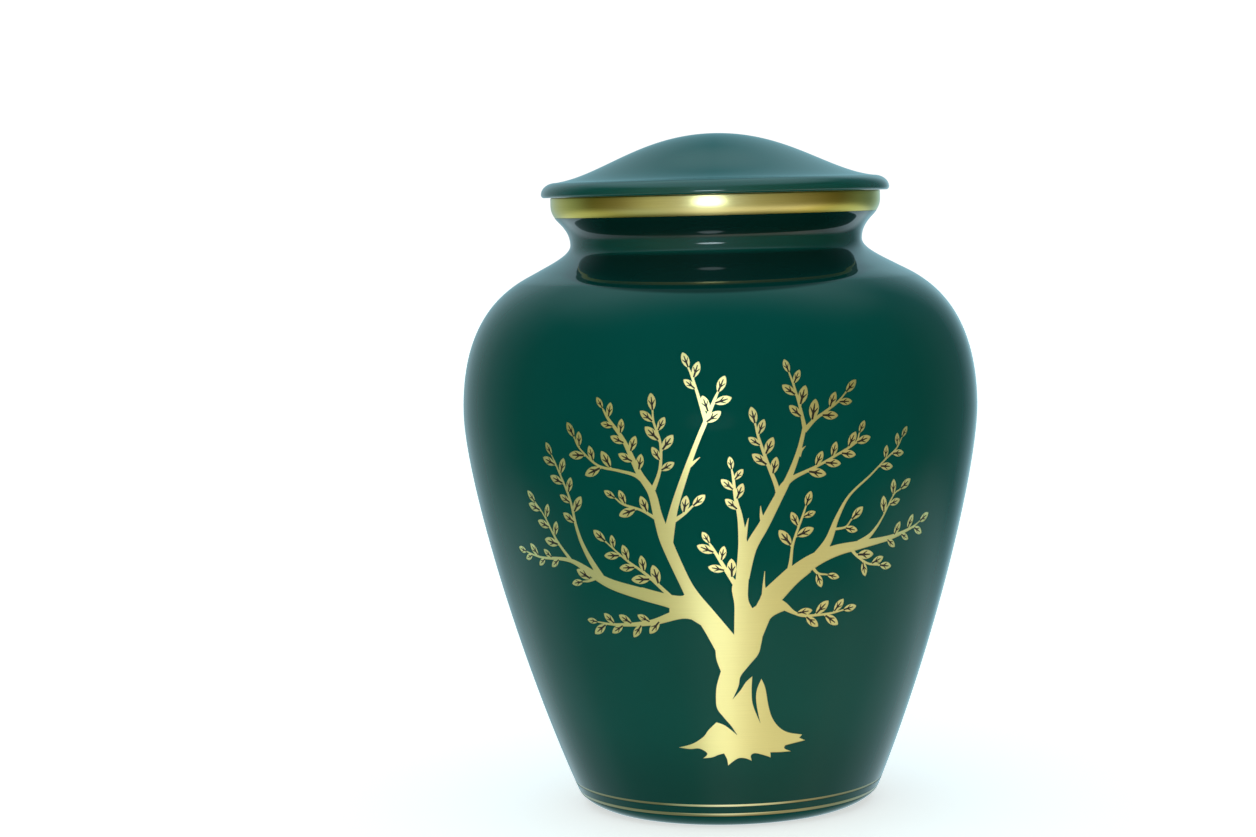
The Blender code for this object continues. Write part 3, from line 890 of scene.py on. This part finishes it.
# Trunk, boughs, leaves and veins as flat faces; their height is their level
def flatTree(brass):
    bare = 2.0  # past the path's end, so no leaves
    mesh = bpy.data.meshes.new("paths")
    points, edges, widths, leafFroms = [], [], [], []
    for leafFrom, path in boughs:
        first = len(points)
        if leafFrom is not None:
            tip, before = Vector(path[-1][:2]), Vector(path[-2][:2])
            last = tip - before
            tip -= last.normalized() * min(tree["leafLength"] * tree["tipBack"], last.length / 2)
            path = path[:-1] + [(tip.x, tip.y, path[-1][2])]
        points += [(x, y, 0.0) for x, y, _ in path]
        edges += [(first + i, first + i + 1) for i in range(len(path) - 1)]
        widths += [width for _, _, width in path]
        leafFroms += [bare if leafFrom is None else leafFrom] * len(path)
    mesh.from_pydata(points, edges, [])
    mesh.attributes.new("width", "FLOAT", "POINT").data.foreach_set("value", widths)
    mesh.attributes.new("leafFrom", "FLOAT", "POINT").data.foreach_set("value", leafFroms)
    leaf = bpy.data.objects.new("leaf", leafMesh())
    values = {
        "Leaf": leaf,
        "Leaf length": tree["leafLength"],
        "Leaf spacing": tree["leafSpacing"],
        "Leaf spread": math.radians(tree["leafSpread"]),
        "Angle jitter": math.radians(tree["angleJitter"]),
        "Size jitter": tree["sizeJitter"],
        "Tip shrink": tree["tipShrink"],
        "Seed": tree["seed"],
        "Brass": brass,
    }
    flat = runGroup(bpy.data.objects.new("paths", mesh), twigGroup(), values)
    bpy.data.objects.remove(leaf)
    shape = bmesh.new()
    shape.from_mesh(flat)
    shape.faces.new([shape.verts.new((point.x, point.y, 0.0)) for point in smoothed(trunk)])
    shape.to_mesh(flat)
    shape.free()
    return flat


# The wall's outline as rows of height, radius and outward direction
def wallRows():
    points = [p for p in vesselOutside() if p[1] >= vessel["heelRise"]]
    rows = []
    for i, (radius, height) in enumerate(points):
        before = points[max(i - 1, 0)]
        after = points[min(i + 1, len(points) - 1)]
        along = Vector((after[0] - before[0], after[1] - before[1])).normalized()
        rows.append((height, radius, along.y, -along.x))
    return rows


# Radius and outward direction at any height
def wallAt(rows, height):
    i = min(max(bisect_right(rows, (height,)) - 1, 0), len(rows) - 2)
    low, high = rows[i], rows[i + 1]
    share = (height - low[0]) / (high[0] - low[0])
    radius, out, up = [low[k] + (high[k] - low[k]) * share for k in (1, 2, 3)]
    return radius, out, up


def roundAngle(place):
    return math.atan2(place[0], -place[1])


# The drawing's corners and faces, and the level of the topmost face over a point
def levelFinder(flat):
    corners = [place.co.copy() for place in flat.vertices]
    faces = []
    for polygon in flat.polygons:
        around = list(polygon.vertices)
        if len(around) == 4:
            faces += [around[:3], [around[2], around[3], around[0]]]
        else:
            faces.append(around)
    covering = BVHTree.FromPolygons(corners, faces)
    above = Vector((0.0, 0.0, 10 * tree["levelStep"]))

    def levelAt(x, y):
        hit = covering.ray_cast(Vector((x, y, 0.0)) + above, -above)[0]
        return enamelLevel if hit is None else round(hit.z / tree["levelStep"])

    return corners, faces, levelAt


# Triangles between the edges, each with its level, and the triangle that owns each directed edge
def cutFlat(points, edges, levelAt):
    cut = delaunay_2d_cdt(points, edges, [], 0, tree["weld"], False)
    places, triangles = cut[0], cut[2]
    levels = []
    for triangle in triangles:
        middle = sum((places[i] for i in triangle), Vector((0.0, 0.0))) / 3
        levels.append(levelAt(middle.x, middle.y))
    owner = {}
    for number, triangle in enumerate(triangles):
        for a, b in zip(triangle, triangle[1:] + triangle[:1]):
            owner[(a, b)] = number
    return places, triangles, levels, owner


# Only the edges where the level changes, and their points
def outlinesOf(flat):
    corners, faces, levelAt = levelFinder(flat)
    edges = {tuple(sorted(pair)) for face in faces for pair in zip(face, face[1:] + face[:1])}
    places, _, levels, owner = cutFlat([corner.xy for corner in corners], list(edges), levelAt)
    border = []
    for (a, b), number in owner.items():
        other = owner.get((b, a))
        if a < b and other is not None and levels[number] != levels[other]:
            border.append((a, b))
    used = sorted({index for pair in border for index in pair})
    place = {index: i for i, index in enumerate(used)}
    return [places[index] for index in used], [(place[a], place[b]) for a, b in border], levelAt


# Sinks the drawing into the front of the turned wall: enamel on top, brass below it, veins below that
def inlayTree(mesh, flat, enamel, brass, vein):
    rows = wallRows()
    turn = 2 * math.pi / vessel["segments"]
    reach = turn * tree["columnsEachSide"]
    heights = [row[0] for row in rows if tree["low"] <= row[0] <= tree["high"]]
    low, high = heights[0], heights[-1]
    columns = range(-tree["columnsEachSide"], tree["columnsEachSide"] + 1)
    outline, edges, levelAt = outlinesOf(flat)
    belly = vessel["bellyRadius"]
    plane = belly / mm
    points = [Vector((place.x / wallAt(rows, place.y * mm)[0] * belly, place.y)) for place in outline]
    points += [Vector((column * turn * plane, height / mm)) for height in heights for column in columns]

    def levelOnPlane(x, y):
        return levelAt(x * wallAt(rows, y * mm)[0] / belly, y)

    places, triangles, levelOf, edges = cutFlat(points, edges, levelOnPlane)
    print("drawing cut into", len(triangles), "triangles")

    shape = bmesh.new()
    shape.from_mesh(mesh)
    front = []
    for face in shape.faces:
        middle = face.calc_center_median()
        away = math.hypot(middle.x, middle.y)
        if low < middle.z < high and abs(roundAngle(middle)) < reach:
            if away > wallAt(rows, middle.z)[0] - vessel["wall"] / 2:
                front.append(face)
    bmesh.ops.delete(shape, geom=front, context="FACES")
    step = shape.faces.layers.int.new("step")
    mesh.materials.append(brass)
    mesh.materials.append(vein)
    slots = list(mesh.materials)
    depths = {enamelLevel: 0.0, brassLevel: tree["brassDepth"], veinLevel: tree["veinDepth"]}
    finishOf = {enamelLevel: slots.index(enamel), brassLevel: slots.index(brass),
                veinLevel: slots.index(vein)}
    made = {}

    def vertex(index, level):
        if (index, level) not in made:
            place = places[index]
            radius, out, up = wallAt(rows, place.y * mm)
            angle = place.x / plane
            radius -= depths[level]
            spot = (radius * math.sin(angle), -radius * math.cos(angle), place.y * mm)
            made[(index, level)] = shape.verts.new(spot)
        return made[(index, level)]

    for triangle, level in zip(triangles, levelOf):
        face = shape.faces.new([vertex(i, level) for i in triangle])
        face.material_index = finishOf[level]
        face.smooth = True
    for (a, b), number in edges.items():
        level = levelOf[number]
        other = edges.get((b, a))
        if other is not None and depths[level] < depths[levelOf[other]]:
            lower = levelOf[other]
            face = shape.faces.new((vertex(b, level), vertex(a, level), vertex(a, lower), vertex(b, lower)))
            face.material_index = finishOf[level]
            face[step] = 1
    rim = [v for v in shape.verts if any(len(edge.link_faces) == 1 for edge in v.link_edges)]
    bmesh.ops.remove_doubles(shape, verts=rim, dist=weldDistance)
    openEdges = sum(1 for edge in shape.edges if len(edge.link_faces) != 2)
    print("edges without two faces:", openEdges)
    shape.to_mesh(mesh)
    shape.free()
    setWallNormals(mesh, rows, low, high)


# The wall keeps the smooth normals of its outline, whatever triangles the drawing leaves in it
def setWallNormals(mesh, rows, low, high):
    mesh.update()
    steps = [item.value for item in mesh.attributes["step"].data]
    normals = [Vector(item.vector) for item in mesh.corner_normals]
    for polygon in mesh.polygons:
        for loop in polygon.loop_indices:
            place = mesh.vertices[mesh.loops[loop].vertex_index].co
            if steps[polygon.index]:
                normals[loop] = polygon.normal.copy()
            elif low - mm <= place.z <= high + mm:
                radius, out, up = wallAt(rows, place.z)
                if math.hypot(place.x, place.y) > radius - mm:
                    angle = roundAngle(place)
                    normals[loop] = Vector((out * math.sin(angle), -out * math.cos(angle), up))
    mesh.normals_split_custom_set(normals)
    mesh.attributes.remove(mesh.attributes["step"])


# Lid

lid = {
    "seat": vesselHigh[2] + 0.04 * mm,
    "crown": lidHigh[2],
    "rimRadius": lidHigh[0],
    "rimHeight": 5.3 * mm,
    "rimNose": 1.1 * mm,
    "rimShoulder": 5.3 * mm,
    "crownPull": 0.46,
    "flangePull": 0.29,
    "flangeSlope": 7.4,
    "spigotRadius": 53.2 * mm,
    "spigotWall": 2.5 * mm,
    "spigotEdge": 0.5 * mm,
    "spigotFoot": lidLow[2],
    "wall": 2.0 * mm,
    "segments": 256,
    "steps": {"dome": 64, "rim": 22, "under": 8},
    "innerEvery": 2,
}


# From the crown down over the rim, under it, round the spigot and up inside
def lidProfile():
    d = lid
    flange = (d["rimRadius"] - d["rimShoulder"], d["seat"] + d["rimHeight"])
    reach = flange[0] * d["flangePull"]
    lift = reach * math.tan(math.radians(d["flangeSlope"]))
    dome = bezier(((0.0, d["crown"]), (flange[0] * d["crownPull"], d["crown"]),
                   (flange[0] - reach, flange[1] + lift), flange), d["steps"]["dome"])
    blunt = d["rimNose"]
    nose = d["seat"] + blunt
    rim = arc((flange[0], nose), d["rimShoulder"], d["rimHeight"] - blunt, 90, 0, d["steps"]["rim"])
    under = arc((d["rimRadius"] - blunt, nose), blunt, blunt, 0, -90, d["steps"]["under"])[1:]
    outer = d["spigotRadius"]
    inner = outer - d["spigotWall"]
    foot = d["spigotFoot"]
    edge = d["spigotEdge"]
    shell = [p for p in movedIn(dome[::-d["innerEvery"]], d["wall"]) if 0 < p[0] < inner - d["wall"]]
    profile = [(radius, height, "enamel") for radius, height in dome + rim + under[:-1]]
    profile += [(*under[-1], "enamel"), (outer, d["seat"], "rawBrass"), (outer, foot + edge, "rawBrass")]
    profile += [(outer - edge, foot, "rawBrass"), (inner, foot, "rawBrass")]
    profile += [(inner, shell[0][1] - d["wall"] / 2, "rawBrass")]
    profile += [(radius, height, "rawBrass") for radius, height in shell]
    profile += [(0.0, d["crown"] - d["wall"], "rawBrass")]
    return profile


# Turns the faces round if the closed mesh is inside out
def facingOut(mesh):
    shape = bmesh.new()
    shape.from_mesh(mesh)
    if shape.calc_volume(signed=True) < 0:
        bmesh.ops.reverse_faces(shape, faces=shape.faces)
        shape.to_mesh(mesh)
    shape.free()


def addPiece(name, mesh, node):
    piece = bpy.data.objects.new(name, mesh)
    bpy.context.scene.collection.objects.link(piece)
    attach(piece, "root")
    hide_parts(node)


# Build

makeCamera()
makeWorld()
makeStage()
print("studio ready")

finishes = {
    "enamel": makeEnamel(),
    "brass": makeBrass("brushed_brass", brassLook),
    "rawBrass": newMaterial("raw_brass", rawBrassLook, 1.0)[0],
    "ringBrass": makeBrass("ring_brass", ringBrassLook),
}
satinBrass = makeBrass("satin_brass", satinBrassLook)
darkVein = newMaterial("dark_vein", veinLook, 0.0)[0]
turning = turningGroup()
vesselMesh = turnedMesh("vessel", vesselProfile(), vessel["segments"], finishes, turning)
facingOut(vesselMesh)
drawing = flatTree(satinBrass)
inlayTree(vesselMesh, drawing, finishes["enamel"], satinBrass, darkVein)
addPiece("enamelled_vessel", vesselMesh, "urn_vessel")
print("vessel turned:", len(vesselMesh.polygons), "faces")

lidMesh = turnedMesh("lid", lidProfile(), lid["segments"], finishes, turning)
facingOut(lidMesh)
addPiece("domed_lid", lidMesh, "urn_lid")
print("lid turned:", len(lidMesh.polygons), "faces")
